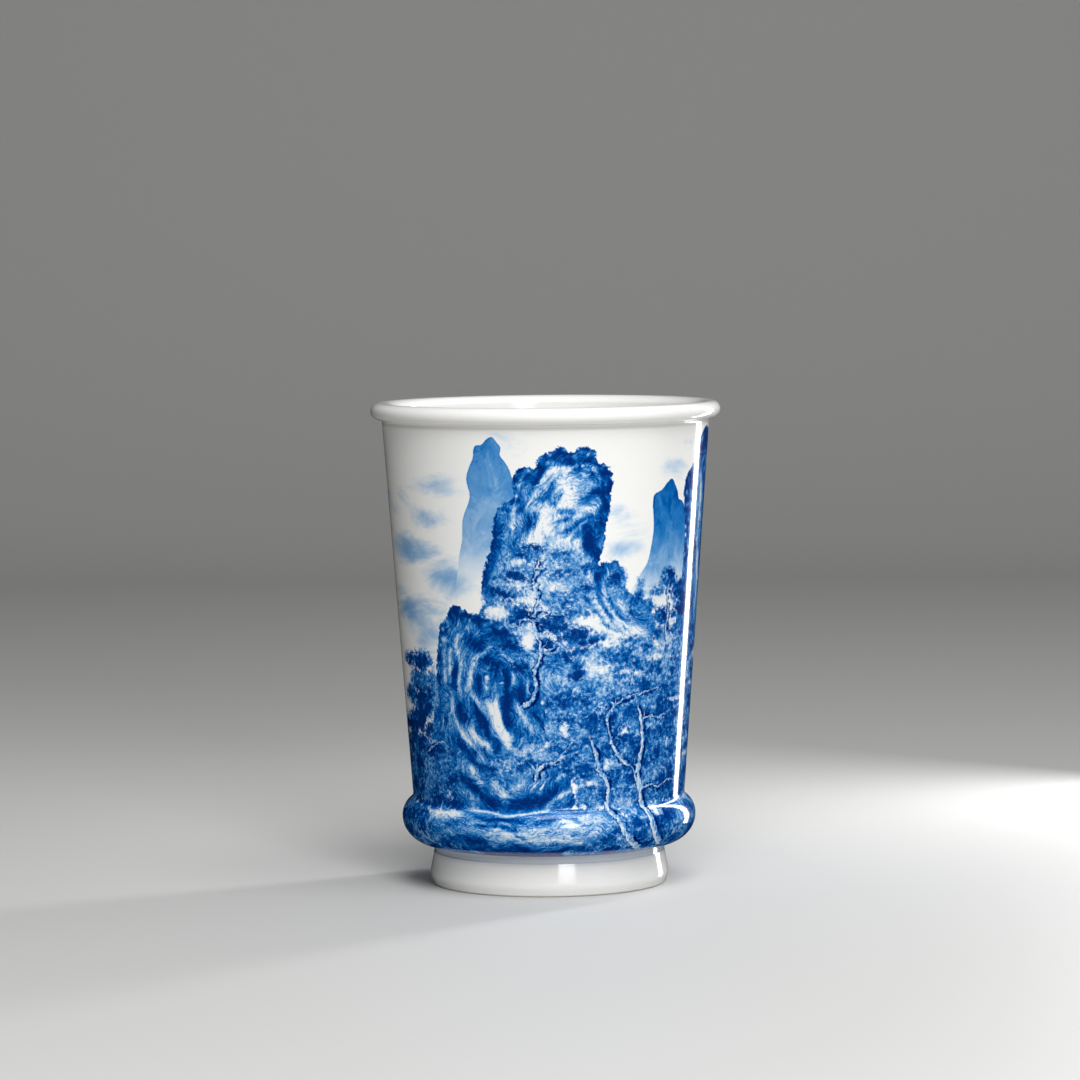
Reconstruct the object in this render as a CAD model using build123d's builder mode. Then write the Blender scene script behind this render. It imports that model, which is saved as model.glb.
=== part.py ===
"""Porcelain brush pot, in millimetres: +Z up, origin at the centre of the foot's resting face.

The pot is a body of revolution about Z.  It is formed as five clay sections, luted together with
slip along stepped seams and then fired as one: a rolled lip, a tapered wall, a swollen base roll,
a floor disc and a foot ring.  The pot's whole profile is drawn once, and each section is the
stretch of it between two seams, so neighbours meet face to face.
"""

import os

from build123d import *

# Driving dimensions
pot_height = 138.0
lip_diameter = 100.0
wall_top_radius = 46.8  # outside of the wall, just under the lip
wall_foot_radius = 38.9  # outside of the wall, where it meets the base roll
wall_thickness = 3.3
roll_diameter = 84.2  # the base roll at its widest
foot_diameter = 68.6  # the foot ring at its widest

# Lip: an oval bead, rounder outside than inside
lip_half_height = 2.4
lip_outer_reach = 2.6
lip_centre_r = lip_diameter / 2 - lip_outer_reach
lip_inner_reach = lip_centre_r - (wall_top_radius - wall_thickness)
lip_centre_z = pot_height - lip_half_height
lip_underside = lip_centre_z - lip_half_height
lip_turn = 103.0  # degrees the bead turns below its widest point, back to the wall
lip_cove = 1.0  # radius of the glaze-softened corner under the lip

# Base roll: a swelling, full above and flatter below
roll_half = roll_diameter / 2
roll_z = 19.6  # height of the widest point
roll_top_r, roll_top_height, roll_top_sweep = 36.0, 6.3, 62.0
roll_under_r, roll_under_height = 33.4, 8.1
crease_z = roll_z + 5.6
crease_cove = 1.8

# Inside of the pot
well_floor = 13.5
well_roll_radius = 38.6  # the hollow behind the base roll, before its corner is rounded
well_floor_corner = 34.0
inner_crease_z = 27.0
well_round = 5.0

# Foot ring: a neck, a shoulder, and a side that leans out to a rounded bottom edge
neck_radius, neck_top = 32.7, roll_z - roll_under_height
shoulder_radius, shoulder_z = 33.1, 9.3
foot_side_z = 2.8  # where the leaning side turns in again
foot_side_round = 4.0
rest_outer, rest_inner = 33.4, 30.2  # the flat, unglazed resting band, before rounding
rest_outer_edge, rest_inner_edge = 0.9, 0.5
recess_radius, recess_height, recess_cove = 28.7, 8.0, 1.5

# Luted seams: heights, depths of the steps, and the radii where they step
lip_seam_z, lip_tongue = 131.4, 2.2
roll_seam_z, roll_tongue = 30.0, -2.6
plug_radius, flange_radius = 26.8, 31.0
outside = lip_diameter


def wall_radius(z):
    """Outside radius of the straight taper at height z."""
    run = (z - crease_z) / (lip_underside - crease_z)
    return wall_foot_radius + (wall_top_radius - wall_foot_radius) * run


def stepped_seam(z, tongue):
    """A seam across the wall at height z, whose inner half is stepped by the tongue's height."""
    step = wall_radius(z) - wall_thickness / 2
    return [(0, z + tongue), (step, z + tongue), (step, z), (outside, z)]


def soften(r, z, radius):
    """Rounds the corner of the profile that is nearest to radius r and height z."""
    corner = profile.vertices().sort_by_distance((r, z, 0))[0]
    fillet(corner, radius)


# The pot's whole profile, from the axis outwards
with BuildSketch(Plane.XZ) as profile:
    with BuildLine():
        lip_centre = (lip_centre_r, lip_centre_z)
        inner_crease = (wall_radius(inner_crease_z) - wall_thickness, inner_crease_z)
        outer_lip = EllipticalCenterArc(
            lip_centre, lip_outer_reach, lip_half_height, -lip_turn, arc_size=lip_turn + 90
        )
        inner_lip = EllipticalCenterArc(
            lip_centre, lip_inner_reach, lip_half_height, 90, arc_size=90
        )
        Polyline(
            inner_lip @ 1,
            inner_crease,
            (well_roll_radius, roll_z),
            (well_floor_corner, well_floor),
            (0, well_floor),
            (0, recess_height),
            (recess_radius, recess_height),
            (rest_inner, 0),
            (rest_outer, 0),
            (foot_diameter / 2, foot_side_z),
            (shoulder_radius, shoulder_z),
            (neck_radius, shoulder_z),
            (neck_radius, neck_top),
            (roll_under_r, neck_top),
        )
        roll_centre_under = (roll_under_r, roll_z)
        EllipticalCenterArc(
            roll_centre_under, roll_half - roll_under_r, roll_under_height, -90, arc_size=90
        )
        roll_top = EllipticalCenterArc(
            (roll_top_r, roll_z), roll_half - roll_top_r, roll_top_height, 0, arc_size=roll_top_sweep
        )
        crease = roll_top @ 1
        wall_top = outer_lip @ 0
        Line(crease, wall_top)
    make_face()
    soften(wall_top.X, wall_top.Y, lip_cove)
    soften(crease.X, crease.Y, crease_cove)
    soften(*inner_crease, well_round)
    soften(well_roll_radius, roll_z, well_round)
    soften(well_floor_corner, well_floor, well_round)
    soften(recess_radius, recess_height, recess_cove)
    soften(rest_inner, 0, rest_inner_edge)
    soften(rest_outer, 0, rest_outer_edge)
    soften(foot_diameter / 2, foot_side_z, foot_side_round)

# The seams between sections, each from inside the pot outwards
lip_seam = stepped_seam(lip_seam_z, lip_tongue)
roll_seam = stepped_seam(roll_seam_z, roll_tongue)
foot_seam = [
    (0, recess_height),
    (plug_radius, recess_height),
    (plug_radius, neck_top),
    (outside, neck_top),
]

# Rolled lip: the bead round the mouth, seated over the wall's tongue
with BuildPart() as rolled_lip:
    with BuildSketch(Plane.XZ):
        with BuildLine():
            Polyline(*lip_seam, (outside, pot_height), (0, pot_height), close=True)
        make_face()
        add(profile.sketch_local, mode=Mode.INTERSECT)
    revolve(axis=Axis.Z)

# Tapered wall: the tall painted cone, with a tongue at each end
with BuildPart() as tapered_wall:
    with BuildSketch(Plane.XZ):
        with BuildLine():
            Polyline(*lip_seam, *reversed(roll_seam), close=True)
        make_face()
        add(profile.sketch_local, mode=Mode.INTERSECT)
    revolve(axis=Axis.Z)

# Base roll: the swollen band that turns in under the wall and stands on the foot ring
with BuildPart() as base_roll:
    with BuildSketch(Plane.XZ):
        with BuildLine():
            seam_top = (flange_radius, roll_seam_z + roll_tongue)
            Polyline(
                (flange_radius, neck_top), seam_top, *roll_seam[1:], (outside, neck_top), close=True
            )
        make_face()
        add(profile.sketch_local, mode=Mode.INTERSECT)
    revolve(axis=Axis.Z)

# Floor disc: a plug in the foot ring, whose flange rests on the ring inside the base roll
with BuildPart() as floor_disc:
    with BuildSketch(Plane.XZ):
        with BuildLine():
            flange_edge = [(flange_radius, neck_top), (flange_radius, well_floor)]
            Polyline(*foot_seam[:3], *flange_edge, (0, well_floor), close=True)
        make_face()
        add(profile.sketch_local, mode=Mode.INTERSECT)
    revolve(axis=Axis.Z)

# Foot ring: the white foot, with the recess under the floor inside it
with BuildPart() as foot_ring:
    with BuildSketch(Plane.XZ):
        with BuildLine():
            Polyline(*foot_seam, (outside, 0), (0, 0), close=True)
        make_face()
        add(profile.sketch_local, mode=Mode.INTERSECT)
    revolve(axis=Axis.Z)

sections = {
    "rolled_lip": rolled_lip,
    "tapered_wall": tapered_wall,
    "base_roll": base_roll,
    "floor_disc": floor_disc,
    "foot_ring": foot_ring,
}
os.makedirs("parts", exist_ok=True)
for name, section in sections.items():
    section.part.label = name
    export_step(section.part, f"parts/{name}.step")
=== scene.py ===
"""A porcelain brush pot, painted all round in underglaze blue, on a plain pale table."""

import bpy
import numpy as np
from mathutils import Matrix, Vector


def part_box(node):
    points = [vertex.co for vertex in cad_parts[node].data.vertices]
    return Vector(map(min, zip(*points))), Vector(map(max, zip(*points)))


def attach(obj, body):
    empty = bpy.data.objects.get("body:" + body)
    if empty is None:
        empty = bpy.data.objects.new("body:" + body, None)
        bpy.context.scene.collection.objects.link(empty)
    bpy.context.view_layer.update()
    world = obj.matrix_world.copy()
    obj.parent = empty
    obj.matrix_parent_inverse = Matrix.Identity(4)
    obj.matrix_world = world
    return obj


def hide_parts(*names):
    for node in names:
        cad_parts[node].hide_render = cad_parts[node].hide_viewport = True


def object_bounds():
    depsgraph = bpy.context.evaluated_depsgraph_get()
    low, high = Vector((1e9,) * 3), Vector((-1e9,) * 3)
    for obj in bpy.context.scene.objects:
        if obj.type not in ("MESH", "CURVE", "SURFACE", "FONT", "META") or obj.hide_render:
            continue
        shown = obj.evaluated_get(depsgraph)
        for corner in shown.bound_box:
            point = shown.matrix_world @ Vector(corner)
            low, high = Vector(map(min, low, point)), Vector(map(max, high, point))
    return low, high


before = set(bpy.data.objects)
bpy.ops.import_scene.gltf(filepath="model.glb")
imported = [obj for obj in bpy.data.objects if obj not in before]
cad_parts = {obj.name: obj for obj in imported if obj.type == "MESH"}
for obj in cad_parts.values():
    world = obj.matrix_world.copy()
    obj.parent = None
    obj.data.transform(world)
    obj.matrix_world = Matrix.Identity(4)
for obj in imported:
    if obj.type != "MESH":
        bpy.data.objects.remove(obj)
cad_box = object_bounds()

# ---------------------------------------------------------------------------------------------
# Table and backdrop: one sheet of pale matt paper that lies flat under the pot and curves up
# behind it.  The glaze doesn't mirror it, so that the dark blues stay clear.
# ---------------------------------------------------------------------------------------------
table_half_width, table_front, table_back = 3.0, -2.5, 1.1
backdrop_bend, backdrop_height = 0.9, 2.6

bend = np.linspace(0, np.pi / 2, 25)
sheet_y = np.concatenate(
    [[table_front], table_back + backdrop_bend * np.sin(bend), [table_back + backdrop_bend]]
)
sheet_z = np.concatenate([[0], backdrop_bend * (1 - np.cos(bend)), [backdrop_height]])
left, right = (
    np.stack([np.full_like(sheet_y, side), sheet_y, sheet_z], axis=1)
    for side in (-table_half_width, table_half_width)
)
rows = len(sheet_y)
sheet_mesh = bpy.data.meshes.new("pale_table")
sheet_mesh.from_pydata(
    np.concatenate([left, right]).tolist(),
    [],
    [(i, i + rows, i + rows + 1, i + 1) for i in range(rows - 1)],
)
sheet_mesh.shade_smooth()
pale_table = bpy.data.objects.new("pale_table", sheet_mesh)
bpy.context.collection.objects.link(pale_table)
paper = bpy.data.materials.new("table_paper")
paper.use_nodes = True
paper_shader = paper.node_tree.nodes["Principled BSDF"]
paper_shader.inputs["Base Color"].default_value = (0.62, 0.62, 0.61, 1)
paper_shader.inputs["Roughness"].default_value = 0.6
sheet_mesh.materials.append(paper)
pale_table.visible_glossy = False

# ---------------------------------------------------------------------------------------------
# Studio light: a large soft lamp above, a small one in front on the right, a fill high in front,
# and a tall narrow lamp behind on the right, whose reflection is the bright upright line in the
# glaze.  The room gives an even glow, which isn't mirrored.
# ---------------------------------------------------------------------------------------------


def soft_lamp(name, place, target, width, height, power, seen=True):
    """A rectangular area lamp of the given size in metres, turned from its place to its target."""
    lamp = bpy.data.lights.new(name, "AREA")
    lamp.shape = "RECTANGLE"
    lamp.size, lamp.size_y = width, height
    lamp.energy = power
    holder = bpy.data.objects.new(name, lamp)
    bpy.context.collection.objects.link(holder)
    aim = np.array(target) - np.array(place)
    holder.location = place
    holder.rotation_euler = (
        np.arctan2(np.hypot(aim[0], aim[1]), -aim[2]),
        0,
        np.arctan2(aim[1], aim[0]) - np.pi / 2,
    )
    holder.visible_camera = False
    holder.visible_glossy = seen
    return holder


middle = (0, 0, cad_box[1][2] / 2)
soft_lamp("overhead_softbox", (0.2, -0.45, 1.3), middle, 0.9, 0.5, 7)
soft_lamp("window_lamp", (0.34, -1.12, 0.42), middle, 0.34, 0.34, 4.8)
soft_lamp("front_softbox", (0.13, -0.95, 1.05), middle, 0.6, 0.6, 9.4, seen=False)
soft_lamp("strip_lamp", (0.235, 0.200, 0.16), (0.04, 0, 0.16), 0.038, 0.42, 1.1)

studio = bpy.data.worlds.new("studio")
bpy.context.scene.world = studio
studio.use_nodes = True
room_glow = studio.node_tree.nodes["Background"]
room_glow.inputs["Color"].default_value = (1.0, 1.0, 1.0, 1)
room_glow.inputs["Strength"].default_value = 0.15
studio.cycles_visibility.glossy = False
bpy.context.scene.view_settings.view_transform = "Standard"

# ---------------------------------------------------------------------------------------------
# Camera: a long lens in front of the pot and a little above its rim, looking slightly down and
# tipped by half a degree.
# ---------------------------------------------------------------------------------------------
camera_distance, camera_height = 1.331, 0.1913
camera_pitch, camera_roll = np.radians(4.0), np.radians(0.52)

camera = bpy.data.objects.new("camera", bpy.data.cameras.new("camera"))
bpy.context.collection.objects.link(camera)
camera.data.lens = 155.3
camera.data.sensor_width = 36
camera.data.shift_x = -0.0061
camera.location = (0, -camera_distance, camera_height)
camera.rotation_euler = (np.pi / 2 - camera_pitch, 0, 0)
camera.rotation_euler.rotate_axis("Z", -camera_roll)
bpy.context.scene.camera = camera

# ---------------------------------------------------------------------------------------------
# Rolled lip: a ring of clay bent outwards into an oval bead, and luted over the wall's tongue.
# It stays white, under clear glaze.
# ---------------------------------------------------------------------------------------------
MM = 0.001


def taper(height):
    """Outside radius in mm of the pot's straight cone at a height in mm: it grows evenly from
    38.9 at the base roll's crease to 46.8 under the lip."""
    return 38.9 + (46.8 - 38.9) * (height - 25.2) / (133.2 - 25.2)


def oval(centre, reach, start, end, steps):
    """Points of an oval's arc: the centre plus the reach times cosine and sine of the angle."""
    angle = np.radians(np.linspace(start, end, steps))
    return np.array(centre) + np.array(reach) * np.stack([np.cos(angle), np.sin(angle)], axis=1)


def line(start, end, steps):
    """Evenly spaced points on a straight line, both ends included."""
    return np.linspace(start, end, steps)


def rounded(*corners):
    """An open outline through corners (r, z, radius).  A rounded corner becomes the arc of its
    radius that touches both sides, each at radius / tan(half the angle between them)."""
    stretches = []
    for i, (r, z, radius) in enumerate(corners):
        here = np.array([r, z], float)
        if radius == 0:
            stretches.append(here[None])
            continue
        back = np.array(corners[i - 1][:2]) - here
        ahead = np.array(corners[i + 1][:2]) - here
        back, ahead = back / np.hypot(*back), ahead / np.hypot(*ahead)
        half = np.arccos(back @ ahead) / 2
        inward = (back + ahead) / np.hypot(*(back + ahead))
        centre = here + inward * radius / np.sin(half)
        start = here + back * radius / np.tan(half) - centre
        end = here + ahead * radius / np.tan(half) - centre
        turn = np.pi - 2 * half
        t = np.linspace(0, 1, 11)[:, None]
        stretches.append(
            centre + (np.sin((1 - t) * turn) * start + np.sin(t * turn) * end) / np.sin(turn)
        )
    return np.concatenate(stretches)


def turned(name, section, columns):
    """A closed solid of revolution: each point (r, z) of the section, which runs anticlockwise
    in mm, is turned about the axis as x = r sin t, y = -r cos t, with t from -180 to 180
    degrees.  An open section starts and ends on the axis, where fans close its poles."""
    section = np.asarray(section, float)
    on_axis = section[:, 0] < 1e-9
    ring = section[~on_axis]
    turn = np.linspace(-np.pi, np.pi, columns, endpoint=False)
    r, z = ring[:, :1], ring[:, 1:]
    points = np.stack([r * np.sin(turn), -r * np.cos(turn), z + 0 * turn], axis=2).reshape(-1, 3)
    count = len(ring)
    row = np.arange(count if not on_axis.any() else count - 1)[:, None]
    column = np.arange(columns)[None, :]
    after_row, after_column = (row + 1) % count, (column + 1) % columns
    quads = np.stack(
        [
            row * columns + column,
            row * columns + after_column,
            after_row * columns + after_column,
            after_row * columns + column,
        ],
        axis=2,
    ).reshape(-1, 4)
    faces = quads.tolist()
    if on_axis.any():
        first, last = section[on_axis][[0, -1]]
        points = np.concatenate([points, [[0, 0, first[1]], [0, 0, last[1]]]])
        low, high = count * columns, count * columns + 1
        ahead = after_column[0]
        bottom = np.stack([np.full(columns, low), ahead, column[0]], axis=1)
        top_row = (count - 1) * columns
        top = np.stack([np.full(columns, high), top_row + column[0], top_row + ahead], axis=1)
        faces += bottom.tolist() + top.tolist()
    mesh = bpy.data.meshes.new(name)
    mesh.from_pydata((points * MM).tolist(), [], faces)
    mesh.shade_smooth()
    mesh.set_sharp_from_angle(angle=np.radians(40))
    piece = bpy.data.objects.new(name, mesh)
    bpy.context.collection.objects.link(piece)
    return piece


def glaze(name):
    """A gloss glaze with a faint orange-peel surface, and a maker of further nodes for it."""
    material = bpy.data.materials.new(name)
    material.use_nodes = True
    tree = material.node_tree

    def node(kind, values, **settings):
        """A node with its settings, each input either linked or set to a value."""
        made = tree.nodes.new(kind)
        for key, value in settings.items():
            setattr(made, key, value)
        for key, value in values.items():
            if isinstance(value, bpy.types.NodeSocket):
                tree.links.new(value, made.inputs[key])
            else:
                made.inputs[key].default_value = value
        return made

    metres = node("ShaderNodeTexCoord", {}).outputs["Object"]
    place = node(
        "ShaderNodeVectorMath", {0: metres, "Scale": 1 / MM}, operation="SCALE"
    ).outputs[0]
    peel = node("ShaderNodeTexNoise", {"Vector": place, "Scale": 0.16, "Detail": 3}).outputs["Fac"]
    bump = node("ShaderNodeBump", {"Height": peel, "Strength": 0.015, "Distance": MM})
    shader = tree.nodes["Principled BSDF"]
    tree.links.new(bump.outputs["Normal"], shader.inputs["Normal"])
    shader.inputs["Roughness"].default_value = 0.11
    shader.inputs["IOR"].default_value = 1.5
    return material, shader, node, place


def clear_glaze(name):
    """Clear glaze over the white body: cloudy by a hair, bluer and deeper where it pools in the cove
    at the neck, where the darkening is partly painted shade and a painted reflection of the roll's
    dark underside, warm grey under the lip, which is painted shade in the cove, and left off the ring
    that stands in the kiln."""
    material, shader, node, place = glaze(name)
    links = material.node_tree.links
    height = node("ShaderNodeSeparateXYZ", {0: place}).outputs[2]
    cloud = node("ShaderNodeTexNoise", {"Vector": place, "Scale": 0.06, "Detail": 4}).outputs["Fac"]
    tint = node(
        "ShaderNodeMix",
        {0: cloud, 6: (0.815, 0.815, 0.795, 1), 7: (0.865, 0.855, 0.84, 1)},
        data_type="RGBA",
    ).outputs[2]
    # each pool's height, how far it spreads, how strong it is at most, and its colour: partly pooled
    # glaze, partly painted shade, with a painted reflection of the roll's underside at the neck
    for middle_height, depth, share, colour in [
        (10.2, 2.0, 0.60, (0.34, 0.43, 0.56, 1)),
        (132.25, 0.85, 0.60, (0.50, 0.48, 0.44, 1)),
    ]:
        # the darkening here is partly real pooled glaze and partly painted shade
        away = node("ShaderNodeMath", {0: height, 1: middle_height}, operation="SUBTRACT")
        away = node("ShaderNodeMath", {0: away.outputs[0]}, operation="ABSOLUTE")
        ports = {0: away.outputs[0], 1: 0, 2: depth, 3: share, 4: 0}
        pooled_glaze_and_shade = node("ShaderNodeMapRange", ports).outputs[0]
        tint = node("ShaderNodeMix", {0: pooled_glaze_and_shade, 6: tint, 7: colour}, data_type="RGBA").outputs[2]
    speck = node("ShaderNodeTexNoise", {"Vector": place, "Scale": 2.2, "Detail": 2}).outputs["Fac"]
    grit = node(
        "ShaderNodeMix",
        {0: speck, 6: (0.60, 0.54, 0.46, 1), 7: (0.80, 0.76, 0.69, 1)},
        data_type="RGBA",
    ).outputs[2]
    bare = node("ShaderNodeMapRange", {0: height, 1: 0.20, 2: 0.42, 3: 1, 4: 0}).outputs[0]
    tint = node("ShaderNodeMix", {0: bare, 6: tint, 7: grit}, data_type="RGBA").outputs[2]
    sheen_loss = node("ShaderNodeMapRange", {0: bare, 1: 0, 2: 1, 3: 0.11, 4: 0.62}).outputs[0]
    links.new(tint, shader.inputs["Base Color"])
    links.new(sheen_loss, shader.inputs["Roughness"])
    return material


lip_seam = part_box("rolled_lip")[0].z / MM
lip_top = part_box("rolled_lip")[1].z / MM
bead_half_height, bead_reach_out, bead_reach_in = 2.4, 2.6, 3.9
bead_centre = (47.4, lip_top - bead_half_height)
lip_inside = bead_centre[0] - bead_reach_in
cove_height, cove = 132.2, 1.0
half_wall = 1.65
tongue_step = taper(lip_seam) - half_wall
tongue_top = lip_seam + 2.2

# The inside of the whole pot, from the lip down to the floor: straight down the wall, out behind
# the base roll and in again to the floor
floor_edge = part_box("floor_disc")[1].x / MM
floor_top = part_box("floor_disc")[1].z / MM
well = rounded(
    (lip_inside, bead_centre[1], 0),
    (taper(27.0) - 3.3, 27.0, 5.0),
    (38.6, 19.6, 5.0),
    (34.0, floor_top, 5.0),
    (floor_edge, floor_top, 0),
)


def bore(height):
    """Inside radius in mm of the pot at a height in mm, on straight lines between its points."""
    return np.interp(height, well[::-1, 1], well[::-1, 0])


lip_section = np.concatenate(
    [
        line((taper(lip_seam), lip_seam), (taper(cove_height), cove_height), 4)[:-1],
        oval((taper(cove_height) + cove, cove_height), (cove, cove), 180, 92, 12),
        oval(bead_centre, (bead_reach_out, bead_half_height), -83, 90, 48),
        oval(bead_centre, (bead_reach_in, bead_half_height), 90, 180, 30)[1:],
        line((bore(tongue_top), tongue_top), (tongue_step, tongue_top), 4),
        line((tongue_step, tongue_top), (tongue_step, lip_seam), 4)[1:],
        line((tongue_step, lip_seam), (taper(lip_seam), lip_seam), 4)[1:-1],
    ]
)
rolled_lip = turned("rolled_lip_glazed", lip_section, 360)
white_glaze = clear_glaze("white_glaze")
rolled_lip.data.materials.append(white_glaze)
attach(rolled_lip, "root")
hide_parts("rolled_lip")

# ---------------------------------------------------------------------------------------------
# Tapered wall: the tall thrown cone, with a tongue at each end.  Its outside is painted with a
# brush in cobalt before glazing: pale washes for the distance, dry strokes for the rocks, and
# tufts of needles for the pines.
# ---------------------------------------------------------------------------------------------
wall_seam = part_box("base_roll")[1].z / MM
tongue_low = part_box("tapered_wall")[0].z / MM
wall_step = taper(wall_seam) - half_wall
wall_columns, wall_rows = 440, 181
inside_heights = np.concatenate(
    [np.linspace(tongue_top, 29, 12)[1:], np.linspace(28, tongue_low, 3)]
)

wall_section = np.concatenate(
    [
        line((taper(wall_seam), wall_seam), (taper(lip_seam), lip_seam), wall_rows),
        line((taper(lip_seam), lip_seam), (tongue_step, lip_seam), 3)[1:],
        line((tongue_step, lip_seam), (tongue_step, tongue_top), 3)[1:],
        line((tongue_step, tongue_top), (bore(tongue_top), tongue_top), 3)[1:],
        np.stack([bore(inside_heights), inside_heights], axis=1),
        line((bore(tongue_low), tongue_low), (wall_step, tongue_low), 3)[1:],
        line((wall_step, tongue_low), (wall_step, wall_seam), 3)[1:],
        line((wall_step, wall_seam), (taper(wall_seam), wall_seam), 3)[1:-1],
    ]
)
tapered_wall = turned("tapered_wall_painted", wall_section, wall_columns)

# The design is drawn flat: mm round from the front, towards the right, then mm of height.
girth_radius = 43.0
girth = 2 * np.pi * girth_radius


def smooth_path(points, closed=False):
    """A Catmull-Rom curve through the points: each stretch is the cubic whose slope at a point
    is half the step from the point before to the point after, taken in five steps."""
    p = np.asarray(points, float)
    if closed:
        p = np.concatenate([p[-1:], p, p[:2]])
    else:
        p = np.concatenate([2 * p[:1] - p[1:2], p, 2 * p[-1:] - p[-2:-1]])
    t = np.linspace(0, 1, 5, endpoint=False)[None, :, None]
    a, b, c, d = (p[i : len(p) - 3 + i, None, :] for i in range(4))
    curve = b + t * (c - a) / 2 + t**2 * (a - 2.5 * b + 2 * c - d / 2)
    curve = (curve + t**3 * (1.5 * (b - c) + (d - a) / 2)).reshape(-1, 2)
    return np.concatenate([curve, curve[:1] if closed else p[-2:-1]])


class FlatSheet:
    """Where each vertex of a piece's outside lies in the flat design."""

    def __init__(self, around, up):
        self.around, self.up = around, up

    def near(self, points, margin):
        """Which vertices are within the margin of the points, and their places beside them."""
        middle = (points[:, 0].min() + points[:, 0].max()) / 2
        around = (self.around - middle + girth / 2) % girth - girth / 2 + middle
        low, high = points.min(axis=0) - margin, points.max(axis=0) + margin
        inside = (around > low[0]) & (around < high[0]) & (self.up > low[1]) & (self.up < high[1])
        return inside, np.stack([around[inside], self.up[inside]], axis=1)

    def follow(self, path, margin):
        """For the vertices near a path: distance from it, which side, and the share of the way
        along it, each from the closest of the path's segments."""
        chosen, place = self.near(path, margin)
        best = np.full(len(place), margin, float)
        side, share = np.ones(len(place)), np.zeros(len(place))
        for i, (start, end) in enumerate(zip(path[:-1], path[1:])):
            run = end - start
            away = place - start
            t = np.clip(away @ run / max(run @ run, 1e-9), 0, 1)
            gap = np.hypot(*(away - t[:, None] * run).T)
            closer = gap < best
            best[closer] = gap[closer]
            turn = run[0] * away[:, 1] - run[1] * away[:, 0]
            side[closer] = np.where(turn[closer] > 0, -1, 1)
            share[closer] = (i + t[closer]) / (len(path) - 1)
        return chosen, best, side, share

    def outline(self, points, reach=14.0):
        """Distance in mm inside a smooth closed outline, negative outside it.  A vertex is inside
        if a level line from it crosses the outline an odd number of times."""
        path = smooth_path(points, closed=True)
        chosen, gap, _, _ = self.follow(path, reach)
        _, place = self.near(path, reach)
        crossings = np.zeros(len(place), int)
        for start, end in zip(path[:-1], path[1:]):
            spans = (start[1] > place[:, 1]) != (end[1] > place[:, 1])
            rise = end[1] - start[1]
            meets = start[0] + (place[:, 1] - start[1]) * (end[0] - start[0]) / (rise or 1e-9)
            crossings += spans & (place[:, 0] < meets)
        distance = np.full(len(self.up), -reach)
        distance[chosen] = np.where(crossings % 2 == 1, gap, -gap)
        return distance

    def blob(self, centre, reach):
        """About how many mm inside an oval each vertex lies, negative outside it: the shorter
        reach, times one less the distance from the centre counted in reaches."""
        beside = (self.around - centre[0] + girth / 2) % girth - girth / 2
        ratio = np.hypot(beside / reach[0], (self.up - centre[1]) / reach[1])
        return (1 - ratio) * min(reach)

    def stroke(self, points, width):
        """How much of a brush stroke's load lies at each vertex: full along the path, fading to
        the sides as exp(-(distance / width) squared), and lifting at both ends."""
        path = smooth_path(points)
        chosen, gap, _, share = self.follow(path, 3 * width)
        load = np.zeros(len(self.up))
        lift = np.clip(6 * share * (1 - share) + 0.25, 0, 1)
        load[chosen] = np.exp(-((gap / width) ** 2)) * lift
        return load


# Far peaks: outline, tone at the top, tone at the foot, and the heights between which it fades
far_peaks = [
    ([(-26, 80), (-25.6, 94), (-24, 101), (-23.4, 107), (-21, 113), (-21.8, 118), (-21, 121),
      (-19.6, 124), (-19, 127.3), (-17, 127.8), (-15.4, 129.5), (-14, 130), (-13, 128.8),
      (-11.8, 127), (-12, 124.8), (-10.3, 122.4), (-9, 119), (-7, 110), (-5, 96), (-6, 80)],
     0.50, 0.30, 126, 92),
    ([(25, 82), (27, 90), (30, 94.5), (31.6, 103), (31, 110), (31.4, 113), (34, 114.2),
      (36, 116), (38, 117.2), (39.6, 115.4), (41, 113.2), (41.6, 111.3), (44, 110), (47, 104),
      (50, 95), (52, 82)],
     0.72, 0.22, 114, 86),
    ([(26, 80), (28, 90), (31, 94.2), (34, 95), (38, 92), (42, 86), (43, 80)],
     0.40, 0.25, 95, 84),
    ([(84, 70), (87, 88), (89, 99), (92, 104), (93, 112), (96, 117.5), (98, 116), (100, 109),
      (104, 103), (106, 94), (109, 84), (110, 70)],
     0.62, 0.16, 116, 80),
    ([(102, 70), (105, 86), (109, 93), (112, 101), (116, 105.5), (120, 99), (124, 92), (127, 82),
      (128, 70)],
     0.45, 0.12, 104, 78),
    ([(-128, 74), (-126, 92), (-123, 104), (-121, 113), (-118, 121), (-115, 125.5), (-112, 122),
      (-110, 113), (-106, 105), (-104, 92), (-101, 74)],
     0.55, 0.14, 124, 84),
    ([(-84, 74), (-81, 86), (-78, 95), (-74, 99.5), (-70, 97), (-66, 90), (-62, 82), (-60, 74)],
     0.42, 0.10, 99, 78),
]

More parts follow.
